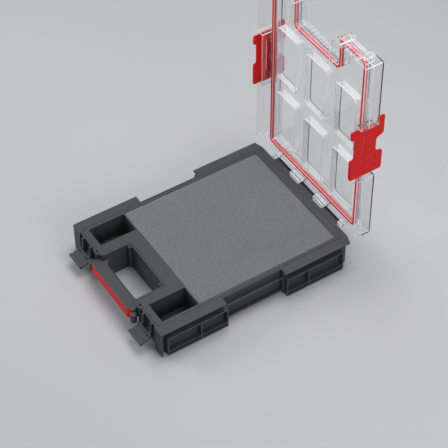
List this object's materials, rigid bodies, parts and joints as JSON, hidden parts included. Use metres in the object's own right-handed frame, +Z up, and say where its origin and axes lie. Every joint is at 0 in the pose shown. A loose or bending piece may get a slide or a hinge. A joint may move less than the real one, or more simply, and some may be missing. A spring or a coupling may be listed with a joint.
{
  "type": "tool organizer case",
  "caption": "Low stackable organizer case, open: black tray with foam bed, wells, handle and latches; clear hinged lid with seal, deep panels and side clips.",
  "frame": {"origin": "on the floor, under the middle of the base between its wing fronts and rear edge", "axes": "+X to the case's right seen from the front, +Y from the handle to the hinge, +Z up"},
  "size_m": [0.383, 0.5841, 0.5677],
  "materials": {
    "base_plastic": "fine grain",
    "foam": "closed-cell foam",
    "red_plastic": "satin",
    "clear_plastic": "clear",
    "seal_rubber": "soft matt",
    "pin_steel": "drawn wire",
    "screw_steel": "black oxide"
  },
  "bodies": {
    "base": {"base_tray": "base_plastic", "case_screws": "screw_steel", "foam_base_sheet": "foam", "foam_insert": "foam", "handle_grip": "base_plastic", "handle_strip": "red_plastic", "latch_pin_left": "pin_steel", "latch_pin_right": "pin_steel", "hinge_pin_left": "pin_steel", "hinge_pin_right": "pin_steel"},
    "lid": {"lid_shell": "clear_plastic", "lid_seal": "seal_rubber", "clip_pin_left": "pin_steel", "clip_pin_right": "pin_steel"},
    "latch_left": {"front_latch_left": "base_plastic"},
    "latch_right": {"front_latch_right": "base_plastic"},
    "clip_left": {"side_clip_left": "red_plastic"},
    "clip_right": {"side_clip_right": "red_plastic"}
  },
  "joints": [
    {"name": "lid_hinge", "type": "hinge", "parent": "base", "child": "lid", "pos_m": [0, 0.254, 0.066], "axis": [1, 0, 0], "range_deg": [0, 90]},
    {"name": "latch_left_hinge", "type": "hinge", "parent": "base", "child": "latch_left", "pos_m": [-0.1285, -0.249, 0.036], "axis": [-1, 0, 0], "range_deg": [0, 114]},
    {"name": "latch_right_hinge", "type": "hinge", "parent": "base", "child": "latch_right", "pos_m": [0.1285, -0.249, 0.036], "axis": [-1, 0, 0], "range_deg": [0, 114]},
    {"name": "clip_left_rock", "type": "hinge", "parent": "lid", "child": "clip_left", "pos_m": [-0.1764, 0.268, 0.32], "axis": [0, 0, -1], "range_deg": [-3, 15]},
    {"name": "clip_right_rock", "type": "hinge", "parent": "lid", "child": "clip_right", "pos_m": [0.1764, 0.268, 0.32], "axis": [0, 0, 1], "range_deg": [-3, 15]}
  ]
}
